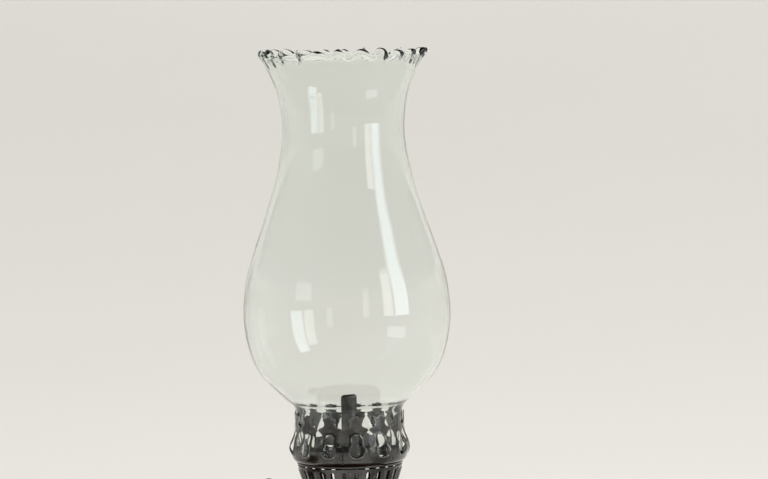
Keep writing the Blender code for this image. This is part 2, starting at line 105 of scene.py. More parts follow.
def rounded(points, radius, steps=4, closed=True):
    """An outline with each corner turned into an arc, smaller where the sides are short."""
    n = len(points)
    out = []
    for i, here in enumerate(points):
        if not closed and i in (0, n - 1):
            out.append(tuple(here))
            continue
        here = np.array(here, float)
        before = np.array(points[i - 1], float) - here
        after = np.array(points[(i + 1) % n], float) - here
        la, lb = np.linalg.norm(before), np.linalg.norm(after)
        before, after = before / la, after / lb
        bend = math.acos(max(-1.0, min(1.0, float(before @ after))))
        if bend > math.radians(172):
            out.append(tuple(here))
            continue
        reach = min(radius / math.tan(bend / 2), 0.48 * la, 0.48 * lb)
        start, end = here + before * reach, here + after * reach
        for t in np.linspace(0, 1, steps + 1):
            out.append(tuple((1 - t) ** 2 * start + 2 * t * (1 - t) * here + t**2 * end))
    return out


def offset_line(line, distance):
    """The line moved to the left of its direction of travel."""
    p = np.array(line, float)
    along = np.gradient(p, axis=0)
    along /= np.linalg.norm(along, axis=1)[:, None]
    return [tuple(q) for q in p + distance * np.stack([-along[:, 1], along[:, 0]], 1)]


def divided(sides, step):
    """The points of an outline's sides, each cut into lengths of about step(start, end)."""
    points = []
    for a, b in sides:
        n = max(1, int(math.dist(a, b) / step(a, b)))
        points += [(a[0] + (b[0] - a[0]) * k / n, a[1] + (b[1] - a[1]) * k / n) for k in range(n)]
    return points


def spread(outline, count):
    """How far along a closed outline that many even points lie, and the points."""
    loop = np.array([*outline, outline[0]], float)
    lengths = np.concatenate([[0], np.cumsum(np.linalg.norm(np.diff(loop, axis=0), axis=1))])
    reach = np.arange(count) / count * lengths[-1]
    return reach, np.stack([np.interp(reach, lengths, loop[:, k]) for k in (0, 1)], 1)


def mirrored(right):
    """A symmetric closed loop from its right half, which starts and ends on the middle line."""
    return [*right, *[(-x, y) for x, y in reversed(right) if abs(x) > 1e-9]]


def circle(radius, sides, centre=(0.0, 0.0)):
    return [(centre[0] + radius * math.cos(TURN * i / sides),
             centre[1] + radius * math.sin(TURN * i / sides)) for i in range(sides)]


def flat_oval(width, depth, sides=12):
    """A slot shape with round ends, along X."""
    reach = (width - depth) / 2
    ends = [math.pi * i / sides - math.pi / 2 for i in range(sides + 1)]
    right = [(reach + depth / 2 * math.cos(a), depth / 2 * math.sin(a)) for a in ends]
    return [*right, *[(-x, -y) for x, y in right]]


# ---------------------------------------------------------------- meshes


def add_piece(name, bm, material, body, nodes, smooth=40):
    """A piece from a bmesh in metres, on its body, which stands for the CAD nodes given."""
    bmesh.ops.recalc_face_normals(bm, faces=bm.faces[:])
    mesh = bpy.data.meshes.new(name)
    bm.to_mesh(mesh)
    bm.free()
    mesh.materials.append(material)
    mesh.shade_smooth()
    mesh.set_sharp_from_angle(angle=math.radians(smooth))
    obj = bpy.data.objects.new(name, mesh)
    bpy.context.scene.collection.objects.link(obj)
    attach(obj, body)
    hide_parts(*nodes)
    return obj


def from_rings(rings, closed=True):
    """A skin over rings of points in millimetres. Closed joins the last ring to the first; otherwise
    each end is capped."""
    bm = bmesh.new()
    rows = [[bm.verts.new(Vector(p) * MM) for p in ring] for ring in rings]
    pairs = list(zip(rows, rows[1:]))
    if closed:
        pairs.append((rows[-1], rows[0]))
    for low, high in pairs:
        for i in range(len(low)):
            j = (i + 1) % len(low)
            bm.faces.new((low[i], low[j], high[j], high[i]))
    if not closed:
        bm.faces.new(rows[0])
        bm.faces.new(rows[-1])
    return bm


def turned(outline, sides=160, shape=None, closed=True):
    """A closed outline of (radius, height) turned about Z. shape(angle, r, z) may move the points."""
    line = np.array(outline, float)
    angle = np.arange(sides)[None, :] * TURN / sides
    r = np.repeat(line[:, :1], sides, 1)
    z = np.repeat(line[:, 1:], sides, 1)
    if shape:
        r, z = shape(angle + 0 * r, r, z)
    points = np.stack([r * np.cos(angle), r * np.sin(angle), z], -1)
    bm = bmesh.new()
    rows = []
    for ring, radius in zip(points, line[:, 0]):
        if radius < 1e-6:
            rows.append([bm.verts.new(Vector(ring[0]) * MM)] * sides)
        else:
            rows.append([bm.verts.new(Vector(p) * MM) for p in ring])
    pairs = list(zip(rows, rows[1:]))
    if closed:
        pairs.append((rows[-1], rows[0]))
    for low, high in pairs:
        for i in range(sides):
            j = (i + 1) % sides
            corners = list(dict.fromkeys((low[i], low[j], high[j], high[i])))
            if len(corners) > 2:
                bm.faces.new(corners)
    return bm


def along_shaft(bm, distance=0.0):
    """Turns a shape made about Z so that its axis is the wick shaft's, that far out along it."""
    turn = SHAFT_AXIS.to_track_quat("Z", "Y").to_matrix().to_4x4()
    place = Matrix.Translation(SHAFT_POINT + SHAFT_AXIS * distance * MM) @ turn
    bmesh.ops.transform(bm, matrix=place, verts=bm.verts[:])
    return bm


def facing_raiser(points, z):
    """Points of a plan in the wick tube's own directions, turned into the row frame at one height."""
    c, s = math.cos(RAISER_ANGLE), math.sin(RAISER_ANGLE)
    return [(c * x - s * y, s * x + c * y, z) for x, y in points]


def sheet_pattern(loops, step, low, high):
    """A flat pierced sheet, cut into cells no larger than the step so that it can be shaped."""
    bm = bmesh.new()
    edges = []
    for loop in loops:
        verts = [bm.verts.new((x, y, 0)) for x, y in loop]
        edges += [bm.edges.new(pair) for pair in zip(verts, [*verts[1:], verts[0]])]
    bmesh.ops.triangle_fill(bm, edges=edges, use_beauty=True, normal=(0, 0, 1))
    for axis in (0, 1):
        for cut in np.arange(low[axis] + step, high[axis] - step / 2, step):
            point, normal = [0.0, 0.0, 0.0], [0.0, 0.0, 0.0]
            point[axis], normal[axis] = float(cut), 1.0
            geom = [*bm.verts, *bm.edges, *bm.faces]
            bmesh.ops.bisect_plane(bm, geom=geom, dist=1e-4, plane_co=point, plane_no=normal)
    return bm


def add_sheet_faces(bm, pattern, twins):
    """Both faces and the cut edges of a sheet, from the two vertices made for each of a pattern's."""
    for face in pattern.faces:
        bm.faces.new([twins[v][0] for v in face.verts])
        bm.faces.new([twins[v][1] for v in reversed(face.verts)])
    for edge in pattern.edges:
        if len(edge.link_faces) == 1:
            a, b = edge.verts
            bm.faces.new((twins[a][0], twins[b][0], twins[b][1], twins[a][1]))


def wrap_sheet(pattern, copies, first_angle, radius, meridian, lift):
    """Copies of a flat pattern wrapped about Z one after another, as a sheet with an inner and an outer
    face. lift(copy, across, up) gives how far each point stands proud and how far it is shifted."""
    line = np.array(meridian, float)
    lengths = np.concatenate([[0], np.cumsum(np.linalg.norm(np.diff(line, axis=0), axis=1))])
    along = np.gradient(line, axis=0)
    along /= np.linalg.norm(along, axis=1)[:, None]
    bm = bmesh.new()
    for copy in range(copies):
        turn = first_angle + TURN * copy / copies
        twins = {}
        for v in pattern.verts:
            proud, shift = lift(copy, v.co.x, v.co.y)
            up = v.co.y
            r, z = (np.interp(up, lengths, line[:, k]) for k in (0, 1))
            tr, tz = (np.interp(up, lengths, along[:, k]) for k in (0, 1))
            angle = (v.co.x + shift) / radius + turn
            pair = []
            for side in (0.5, -0.5):
                out = proud + side * STAMPED_SHEET
                rr, zz = r + tz * out, z - tr * out
                pair.append(bm.verts.new((rr * math.cos(angle) * MM, rr * math.sin(angle) * MM,
                                          zz * MM)))
            twins[v] = pair
        add_sheet_faces(bm, pattern, twins)
    pattern.free()
    bmesh.ops.remove_doubles(bm, verts=bm.verts[:], dist=2e-6)
    same_corners = {}
    for face in bm.faces:
        same_corners.setdefault(frozenset(face.verts), []).append(face)
    waste = [face for faces in same_corners.values() if len(faces) > 1 for face in faces]
    bmesh.ops.delete(bm, geom=waste, context="FACES_ONLY")
    return bm


def bevelled(obj, width, segments=2):
    bevel = obj.modifiers.new("edges", "BEVEL")
    bevel.width = width * MM
    bevel.segments = segments
    bevel.limit_method = "ANGLE"
    bevel.angle_limit = math.radians(50)
    bevel.harden_normals = True


# ---------------------------------------------------------------- materials


class Shader:
    """A material with a Principled BSDF, and short calls to add the nodes that feed it."""

    def __init__(self, name, **sockets):
        self.material = bpy.data.materials.new(name)
        self.material.use_nodes = True
        self.tree = self.material.node_tree
        self.bsdf = self.tree.nodes["Principled BSDF"]
        self.output = self.tree.nodes["Material Output"]
        self.object_space = self.add("ShaderNodeTexCoord").outputs["Object"]
        self.feed(**sockets)

    def add(self, kind, inputs=None, **settings):
        node = self.tree.nodes.new(kind)
        for key, value in settings.items():
            setattr(node, key, value)
        for key, value in (inputs or {}).items():
            if isinstance(value, bpy.types.NodeSocket):
                self.tree.links.new(value, node.inputs[key])
            else:
                node.inputs[key].default_value = value
        return node

    def feed(self, **sockets):
        for key, value in sockets.items():
            socket = self.bsdf.inputs[key.replace("_", " ")]
            if isinstance(value, bpy.types.NodeSocket):
                self.tree.links.new(value, socket)
            else:
                socket.default_value = (*value, 1) if isinstance(value, tuple) else value

    def noise(self, scale, detail=4.0, roughness=0.55, vector=None, distortion=0.0):
        return self.add("ShaderNodeTexNoise", {
            "Vector": vector or self.object_space, "Scale": scale, "Detail": detail,
            "Roughness": roughness, "Distortion": distortion}).outputs["Fac"]

    def remap(self, value, low, high, to_low=0.0, to_high=1.0):
        return self.add("ShaderNodeMapRange", {
            "Value": value, "From Min": low, "From Max": high, "To Min": to_low,
            "To Max": to_high}).outputs["Result"]

    def math(self, operation, a, b=0.0, clamp=False):
        return self.add("ShaderNodeMath", {0: a, 1: b}, operation=operation,
                        use_clamp=clamp).outputs[0]

    def mix(self, factor, a, b):
        a = (*a, 1) if isinstance(a, tuple) else a
        b = (*b, 1) if isinstance(b, tuple) else b
        node = self.add("ShaderNodeMix", {0: factor, 6: a, 7: b}, data_type="RGBA",
                        clamp_factor=False)
        return node.outputs[2]

    def bump(self, height, distance, strength=1.0, normal=None):
        inputs = {"Height": height, "Distance": distance, "Strength": strength}
        if normal:
            inputs["Normal"] = normal
        return self.add("ShaderNodeBump", inputs).outputs["Normal"]

    def edges(self, low=0.52, high=0.60):
        """One on raised edges, zero elsewhere."""
        return self.remap(self.add("ShaderNodeNewGeometry").outputs["Pointiness"], low, high)

    def hollows(self, low=0.48, high=0.42):
        """One in creases, zero elsewhere."""
        return self.remap(self.add("ShaderNodeNewGeometry").outputs["Pointiness"], low, high)

    def split(self):
        parts = self.add("ShaderNodeSeparateXYZ", {0: self.object_space})
        return parts.outputs[0], parts.outputs[1], parts.outputs[2]

    def turned_space(self):
        """Coordinates of distance from the Z axis and of height, which make rings about the axis."""
        x, y, z = self.split()
        radius = self.math("SQRT", self.math("ADD", self.math("MULTIPLY", x, x),
                                             self.math("MULTIPLY", y, y)))
        return self.add("ShaderNodeCombineXYZ", {0: radius, 1: z, 2: 0.0}).outputs[0]


def glass_material():
    """Blown soda glass: a faint grey-green body, soft ripples from blowing, and a trace of dust."""
    s = Shader("chimney_glass_material", Base_Color=(0.985, 0.992, 0.985), IOR=1.5,
               Transmission_Weight=1.0)
    x, y, z = s.split()
    stretched = s.add("ShaderNodeCombineXYZ", {0: x, 1: y, 2: s.math("MULTIPLY", z, 0.35)})
    drawn = s.add("ShaderNodeCombineXYZ", {0: x, 1: y, 2: s.math("MULTIPLY", z, 0.06)})
    ripple = s.noise(34, 1.5, 0.4, stretched.outputs[0])
    bands = s.noise(110, 2.0, 0.5, drawn.outputs[0])
    fine = s.noise(260, 2.0, 0.5)
    normal = s.bump(ripple, 0.00045, 0.6, s.bump(bands, 0.00010, 0.5))
    dust = s.remap(fine, 0.55, 0.8, 0.0, 0.035)
    s.feed(Roughness=dust, Normal=normal)
    absorb = s.add("ShaderNodeVolumeAbsorption", {"Color": (0.66, 0.78, 0.70, 1), "Density": 44.0})
    s.tree.links.new(absorb.outputs[0], s.output.inputs["Volume"])
    return s.material


def aged_metal(name, clean, dirt, worn, roughness, spun=False, relief=0.00003):
    """Old plated or lacquered brass: tarnish in clouds and in hollows, bright metal on worn edges."""
    s = Shader(name, Metallic=1.0)
    clouds = s.noise(55, 5.0, 0.6, distortion=0.6)
    grain = s.noise(900, 3.0, 0.6)
    specks = s.noise(2600, 2.0, 0.5)
    tarnish = s.math("ADD", s.remap(clouds, 0.34, 0.66), s.hollows(), clamp=True)
    colour = s.mix(s.math("MULTIPLY", tarnish, 0.85), clean, dirt)
    colour = s.mix(s.remap(grain, 0.56, 0.74, 0.0, 0.45), colour, dirt)
    wear = s.math("MULTIPLY", s.edges(), s.remap(grain, 0.30, 0.62, 0.25, 1.0))
    colour = s.mix(wear, colour, worn)
    low, high = roughness
    rough = s.math("ADD", s.remap(clouds, 0.3, 0.7, low, high), s.remap(grain, 0.3, 0.8, -0.05, 0.09))
    rough = s.math("SUBTRACT", rough, s.math("MULTIPLY", wear, 0.10))
    height = s.math("ADD", s.math("MULTIPLY", grain, 0.7), s.math("MULTIPLY", specks, 0.3))
    normal = s.bump(height, relief)
    if spun:
        rings = s.noise(1400, 2.0, 0.6, s.turned_space())
        normal = s.bump(rings, 0.00002, 0.6, normal)
        rough = s.math("ADD", rough, s.remap(rings, 0.35, 0.7, -0.04, 0.06))
    s.feed(Base_Color=colour, Roughness=rough, Normal=normal)
    return s.material


def wick_material():
    """Woven cotton, burnt black at the top, scorched below it and oil-soaked further down."""
    s = Shader("cotton_wick_material", Sheen_Weight=0.25, Sheen_Roughness=0.5)
    x, y, z = s.split()
    burn = s.noise(700, 3.0)
    edge = s.math("ADD", z, s.math("MULTIPLY", s.math("SUBTRACT", burn, 0.5), 0.004))
    top = TUBE_TOP_Z * MM
    char = s.remap(edge, top - 0.005, top - 0.0005)
    scorch = s.remap(edge, top - 0.016, top - 0.004)
    yarn = s.noise(2400, 3.0)
    cotton = s.mix(yarn, (0.72, 0.66, 0.52), (0.50, 0.44, 0.32))
    colour = s.mix(scorch, cotton, (0.20, 0.12, 0.06))
    colour = s.mix(char, colour, (0.012, 0.011, 0.010))
    s.feed(Base_Color=colour, Roughness=s.remap(yarn, 0.2, 0.8, 0.82, 1.0),
           Normal=s.bump(yarn, 0.00006))
    return s.material


def felt_material():
    """Pressed green wool with loose fibres."""
    s = Shader("felt_material", Sheen_Weight=0.5, Sheen_Roughness=0.4)
    fibres = s.noise(2200, 5.0, 0.7, distortion=2.0)
    patches = s.noise(80, 3.0)
    colour = s.mix(fibres, (0.020, 0.055, 0.030), (0.050, 0.110, 0.060))
    colour = s.mix(s.remap(patches, 0.4, 0.8, 0.0, 0.5), colour, (0.030, 0.060, 0.035))
    s.feed(Base_Color=colour, Roughness=s.remap(fibres, 0.2, 0.8, 0.88, 1.0),
           Normal=s.bump(fibres, 0.0003))
    return s.material


def iron_material():
    """Sand-cast iron with patches of rust."""
    s = Shader("cast_iron_material", Metallic=0.7)
    sand = s.noise(700, 6.0, 0.65)
    rust = s.noise(120, 4.0)
    colour = s.mix(s.remap(rust, 0.55, 0.75), (0.060, 0.058, 0.055), (0.110, 0.050, 0.025))
    s.feed(Base_Color=colour, Roughness=s.remap(sand, 0.2, 0.8, 0.6, 0.9),
           Normal=s.bump(sand, 0.0003))
    return s.material


def steel_material():
    """Bare drawn steel, stained in places."""
    s = Shader("plain_steel_material", Metallic=1.0)
    grain = s.noise(1500, 3.0)
    stain = s.noise(150, 4.0)
    colour = s.mix(s.remap(stain, 0.5, 0.75), (0.48, 0.47, 0.45), (0.22, 0.17, 0.13))
    s.feed(Base_Color=colour, Roughness=s.remap(grain, 0.2, 0.8, 0.28, 0.5),
           Normal=s.bump(grain, 0.00003))
    return s.material


def floor_material():
    """Pale matt paper with painted light and shade: its colour is darkened towards the viewer's side
    and lightened a little up the far wall, so that it looks evenly lit from every side.
    """
    s = Shader("backdrop_material")
    cloud = s.noise(0.9, 2.0)
    x, y, z = s.split()
    # painted shade towards the viewer's side and painted light up the far wall, a factor on the paper's
    # colour
    painted_light_and_shade = s.math("MULTIPLY", s.remap(y, -3.0, 0.9, 0.50, 1.0), s.remap(y, 1.5, 5.8, 1.0, 1.10))
    colour = s.mix(cloud, (0.70, 0.69, 0.66), (0.73, 0.72, 0.695))
    # the painted light and shade is mixed into the paper's colour here
    colour = s.mix(painted_light_and_shade, (0, 0, 0), colour)
    s.feed(Base_Color=colour, Roughness=0.9, Specular_IOR_Level=0.1)
    return s.material


# ---------------------------------------------------------------- chimney


def chimney_outer_line():
    """The same curve as the CAD chimney's, read more finely, in (radius, height)."""
    fitter = FITTER_RADIUS
    knots = [(fitter, 0), (fitter, 12), (fitter, 24), (fitter + 0.1, 29.6), (34.6, 33.3),
             (38.4, 36.6), (46.6, 44.2), (53.8, 52.2), (59.0, 61.5), (62.6, 73.5), (64.4, 87),
             (64.0, 99), (61.8, 114), (57.0, 129.5), (50.5, 149), (43.6, 170.5), (39.4, 190),
             (38.1, 203), (38.8, 216), (41.3, 229), (45.0, 238.5), (48.9, 246.5),
             (50.6, CHIMNEY_TOP - CHIMNEY_Z - 4.4)]
    return [(r, CHIMNEY_Z + z) for r, z in smooth_line(knots, 7)]


def crimp(angle, r, z):
    """The crimping tool's folds: the lip swings out and in, and up and down, no two quite alike."""
    rim = CHIMNEY_TOP - 4.0
    share = np.clip((z - (rim - 7.5)) / 7.5, 0, 1.25) ** 1.8
    drift = 0.55 * np.sin(3 * angle + 1.0) + 0.35 * np.sin(7 * angle + 0.4)
    drift = drift + 0.30 * np.sin(13 * angle + 2.2)
    phase = CRIMPS * angle + drift
    size = 0.86 + 0.24 * np.sin(5 * angle + 2.0) + 0.20 * np.sin(11 * angle) \
        + 0.12 * np.sin(17 * angle + 0.7)
    wave = np.cos(phase) + 0.30 * np.cos(2 * phase + 0.5)
    r = r + share * size * (1.45 * wave + 0.25)
    z = z + share * (size * 1.3 * np.cos(phase + 0.9 + 0.5 * np.sin(5 * angle)) - 0.5)
    return r, z


def add_chimney(glass):
    """Blown glass, thick in its foot, thin in the bulb and thicker in the neck, with a rounded lip."""
    outer = chimney_outer_line()
    along = np.gradient(np.array(outer), axis=0)
    along /= np.linalg.norm(along, axis=1)[:, None]
    inner = []
    for (ro, zo), (ar, az) in zip(outer, along):
        rise = zo - CHIMNEY_Z
        wall = 1.7 + 1.5 / (1 + math.exp((rise - 31.0) / 1.6))
        wall -= 0.9 / (1 + math.exp((rise - 3.0) / 0.8))
        wall += 1.2 / (1 + math.exp((130.0 - rise) / 14.0))
        wall += 0.75 * math.exp(-((zo - outer[-1][1]) / 2.4) ** 2)
        inner.append((ro - az * wall, zo + ar * wall))
    (ro, zo), (ri, zi) = outer[-1], inner[-1]
    mid, half = ((ro + ri) / 2, (zo + zi) / 2), math.hypot(ro - ri, zo - zi) / 2
    lean = math.atan2(zo - zi, ro - ri)
    lip = [(mid[0] + half * math.cos(lean + a), mid[1] + half * 1.1 * math.sin(lean + a))
           for a in np.linspace(0, math.pi, 9)[1:-1]]
    (ro, zo), (ri, zi) = outer[0], inner[0]
    half = (ro - ri) / 2
    lift = half * 0.8
    foot = [((ro + ri) / 2 + half * math.cos(a), zo + lift * (1 + math.sin(a)))
            for a in np.linspace(math.pi, TURN, 9)[1:-1]]
    outer[0] = (ro, zo + lift)
    inner[0] = (ri, zi + lift)
    bm = turned([*outer, *lip, *reversed(inner), *foot], 16 * CRIMPS, crimp)
    add_piece("chimney_glass_blown", bm, glass, "chimney_glass", ["chimney"], 180)


# ---------------------------------------------------------------- gallery crown and basket


def crown_meridian():
    """The crown's side profile: out from its foot, over the bulge, in to the glass and up."""
    z = GALLERY_Z
    knots = [(33.65, z + 0.25), (34.5, z + 1.1), (35.2, z + 2.2), (35.5, z + 3.2), (36.3, z + 5.0),
             (37.1, z + 6.9), (37.4, z + 8.4), (37.0, z + 10.2), (35.9, z + 13.0),
             (34.6, z + 16.2), (33.9, z + 19.4), (33.8, z + 23.5), (34.0, z + 27.5), (34.3, z + 30.6)]
    return smooth_line(knots, 3)


def add_crown(metal):
    """A stamped strip with keyholes and winged, three-lobed prongs, each a little out of true."""
    half = math.pi * CROWN_RADIUS / PRONGS
    right = [(half, 0.0), (half, 12.3), (5.5, 12.4), (4.9, 13.2), (4.5, 14.6), (4.35, 17.0),
             (4.6, 19.2), (5.9, 21.0), (8.2, 22.9), (7.4, 24.2), (5.3, 24.9), (4.0, 25.8),
             (3.6, 27.0), (3.8, 28.3), (4.5, 29.5), (4.25, 30.6), (3.2, 30.8), (2.2, 30.3),
             (1.9, 31.1), (1.0, 31.85), (0.0, 32.0)]
    outline = rounded(mirrored(right), 0.45, 3)
    hole_y, hole_r, neck, neck_top = 9.7, 4.3, 2.75, 20.1
    start = math.acos(neck / hole_r)
    arc = np.linspace(start, -math.pi - start, 31)
    keyhole = [(hole_r * math.cos(a), hole_y + hole_r * math.sin(a)) for a in arc]
    keyhole += [(-neck, neck_top), (neck, neck_top)]
    loops = [outline, rounded(keyhole, 0.9, 4)]
    draw = random.Random(7)
    lean = [draw.uniform(-0.35, 0.25) for _ in range(PRONGS)]
    sway = [draw.uniform(-0.35, 0.35) for _ in range(PRONGS)]

    def lift(copy, across, up):
        in_hole = up < hole_y + 3.2
        middle = hole_y if in_hole else min(up, neck_top - neck)
        rim = math.hypot(across, up - middle) - (hole_r if in_hole else neck)
        proud = 0.28 * math.exp(-((rim - 0.7) / 0.4) ** 2)
        if up > 22.0:
            rib = math.exp(-((across / 0.9) ** 2)) * min(1, (up - 22.0) / 2) * min(1, (31.0 - up) / 3)
            proud += 0.30 * max(0.0, rib)
        rise = max(0.0, (up - 15) / 16)
        return proud + lean[copy] * rise**2, sway[copy] * rise**1.5

    pattern = sheet_pattern(loops, 0.55, (-half, 0), (half, 32))
    bm = wrap_sheet(pattern, PRONGS, FIRST_PRONG_ANGLE, CROWN_RADIUS, crown_meridian(), lift)
    crown = add_piece("crown_fretwork", bm, metal, "burner", ["gallery_crown"], 38)
    bevelled(crown, 0.09)


def add_bead(metal):
    """A rolled wire under the crown's foot."""
    section = circle(1.0, 20, (32.1, GALLERY_Z - 1.1))
    add_piece("gallery_bead_ring", turned(section, 200), metal, "burner", ["gallery_bead"])


def add_basket(metal):
    """The air distributor: fluted between its slots, with a row of holes, two raised rings and bevelled
    edges.
    """
    top = (32.4, BASKET_TOP_Z - 0.1)
    foot = (23.6, BASKET_FLOOR_Z + 0.1)
    length = math.hypot(top[0] - foot[0], top[1] - foot[1])
    radius = (top[0] + foot[0]) / 2
    half = math.pi * radius / BASKET_SLOTS
    slot = [(1.15, 15.5), (1.15, 25.9), (0, 27.0), (-1.15, 25.9), (-1.15, 15.5), (0, 14.4)]
    loops = [[(-half, 0), (half, 0), (half, length), (-half, length)], rounded(slot, 0.9, 4),
             circle(1.0, 20, (0, 3.6))]

    def lift(copy, across, up):
        fade = min(1.0, max(0.0, (up - 10) / 4)) * min(1.0, max(0.0, (length - 0.8 - up) / 1.5))
        flute = 0.55 * abs(across / half) ** 2 * fade
        ring = 0.30 * math.exp(-((up - 8.2) / 0.8) ** 2) + 0.22 * math.exp(-((up - 10.3) / 0.5) ** 2)
        rim = math.hypot(across, up - 3.6) - 1.0
        boss = 0.18 * math.exp(-((rim - 0.5) / 0.35) ** 2)
        return flute + ring + boss, 0.0

    pattern = sheet_pattern(loops, 0.5, (-half, 0), (half, length))
    line = [foot, ((foot[0] + top[0]) / 2, (foot[1] + top[1]) / 2), top]
    bm = wrap_sheet(pattern, BASKET_SLOTS, 0.0, radius, line, lift)
    basket = add_piece("basket_fluted", bm, metal, "burner", ["air_basket"], 40)
    bevelled(basket, 0.08, 1)


def add_floor_plate(metal):
    """A flat disc under the chimney, with two rings of holes and a slot for the wick tube."""
    z = GALLERY_Z + 0.85
    loops = [circle(33.05, 120), [(p[0], p[1]) for p in facing_raiser(flat_oval(10.8, 4.0), 0)]]
    for count, ring in ((16, 25.0), (8, 14.0)):
        for i in range(count):
            a = TURN * (i + 0.5) / count + RAISER_ANGLE
            loops.append(circle(1.9, 20, (ring * math.cos(a), ring * math.sin(a))))
    flat = sheet_pattern(loops, 6.0, (-33, -33), (33, 33))
    bm = bmesh.new()
    twins = {v: [bm.verts.new(Vector((v.co.x, v.co.y, z + side)) * MM) for side in (0.3, -0.3)]
             for v in flat.verts}
    add_sheet_faces(bm, flat, twins)
    flat.free()
    plate = add_piece("plate_pierced", bm, metal, "burner", ["floor_plate"], 35)
    bevelled(plate, 0.12)


# ---------------------------------------------------------------- tube, deflector, base


def tube_oval(grow):
    """The wick tube's plan, grown or shrunk all round."""
    return flat_oval(TUBE_WIDTH + 2 * grow, TUBE_DEPTH + 2 * grow, 14)


def add_wick_tube(metal):
    """A folded flat tube with a rolled lip and two windows for the spur wheels."""
    wall = 0.4
    rings = []
    for grow, z in ((0, TUBE_BOTTOM_Z), (0, TUBE_TOP_Z - 6), (0, TUBE_TOP_Z - 1.2),
                    (0, TUBE_TOP_Z - 0.16), (-0.06, TUBE_TOP_Z - 0.04), (-0.16, TUBE_TOP_Z),
                    (-0.28, TUBE_TOP_Z - 0.01), (-0.37, TUBE_TOP_Z - 0.08),
                    (-wall, TUBE_TOP_Z - 0.2), (-wall, TUBE_BOTTOM_Z)):
        rings.append(facing_raiser(tube_oval(grow), z))
    tube = add_piece("wick_tube_folded", from_rings(rings), metal, "burner", ["wick_tube"],
                     40)
    shaft_z = SHAFT_POINT.z / MM
    for x in (-2.3, 2.3):
        plan = rounded([(x - 0.75, 0.6), (x + 0.75, 0.6), (x + 0.75, 4), (x - 0.75, 4)], 0.1, 1)
        rings = [facing_raiser(plan, shaft_z - 4.4), facing_raiser(plan, shaft_z + 4.4)]
        bm = from_rings(rings, closed=False)
        bmesh.ops.recalc_face_normals(bm, faces=bm.faces[:])
        mesh = bpy.data.meshes.new("window_cutter")
        bm.to_mesh(mesh)
        bm.free()
        cutter = bpy.data.objects.new("window_cutter", mesh)
        bpy.context.scene.collection.objects.link(cutter)
        window = tube.modifiers.new("window", "BOOLEAN")
        window.object = cutter
        bpy.context.view_layer.update()
        cut = tube.evaluated_get(bpy.context.evaluated_depsgraph_get())
        cut_mesh = bpy.data.meshes.new_from_object(cut)
        tube.modifiers.clear()
        tube.data = cut_mesh
        bpy.data.objects.remove(cutter)
    tube.data.set_sharp_from_angle(angle=math.radians(40))


def add_deflector(metal):
    """A shallow spun cone with a rolled edge, closed up to the flat tube."""
    z = GALLERY_Z
    section = [(0.30, 18.6), (0.9, 18.9), (2.0, 18.35), (5.5, 16.9), (9.5, 14.6), (12.1, 12.9),
               (12.75, 12.2), (13.0, 11.5), (12.8, 10.95), (12.2, 10.85), (11.9, 11.2),
               (12.0, 11.8), (11.6, 12.3), (9.2, 13.9), (5.3, 16.1), (1.9, 17.5), (0.9, 17.7),
               (0.30, 17.5)]
    count = 96
    near = spread(tube_oval(0.0), count)[1]
    angles = np.unwrap(np.arctan2(near[:, 1], near[:, 0]))
    even = angles[0] + np.arange(count) / count * TURN
    rings = []
    for reach, height in rounded(section, 0.35, 3):
        blend = min(1.0, reach / 13.0) ** 0.7
        angle = angles * (1 - blend) + even * blend
        radius = np.linalg.norm(near, axis=1) * (1 - blend) + 5.0 * blend + reach
        points = np.stack([radius * np.cos(angle), radius * np.sin(angle)], 1)
        rings.append(facing_raiser([tuple(p) for p in points], z + height))
    add_piece("deflector_cone", from_rings(rings), metal, "burner", ["deflector"], 60)


def add_burner_base(metal):
    """A spun cup, a milled grip ring and a screw neck that is open below."""
    z = BASKET_FLOOR_Z
    grip = COLLAR_TOP_Z + 0.4
    outline = [(6.2, z - 0.3), (23.6, z - 0.3), (23.9, z - 1.0), (22.6, z - 1.9), (19.4, z - 2.6),
               (17.6, z - 3.2), (17.4, z - 3.9), (17.4, grip + 0.5), (16.9, grip), (11.0, grip),
               (11.0, 166.4), (10.6, 166.0), (9.5, 166.0), (9.5, z - 1.7), (6.2, z - 1.7)]
    line = rounded(outline, 0.35, 4)
    dense = divided(zip(line, line[1:]),
                    lambda a, b: 0.18 if abs(a[0] - 11.0) < 0.2 and a[1] < grip else 2.0)

    def shape(angle, r, height):
        share = (height / THREAD_PITCH - angle / TURN) % 1.0
        thread = (np.abs(r - 11.0) < 0.05) & (height < grip - 0.8) & (height > 166.6)
        r = np.where(thread, 10.55 + 0.45 * np.abs(2 * share - 1), r)
        milled = (r > 17.2) & (r < 17.5) & (height < z - 3.6) & (height > grip + 0.3)
        r = np.where(milled, 17.4 - 0.16 * (1 + np.cos(60 * angle)) / 2, r)
        return r, height

    bm = turned(dense, 360, shape)
    add_piece("base_spun_cup", bm, metal, "burner", ["burner_base"], 40)


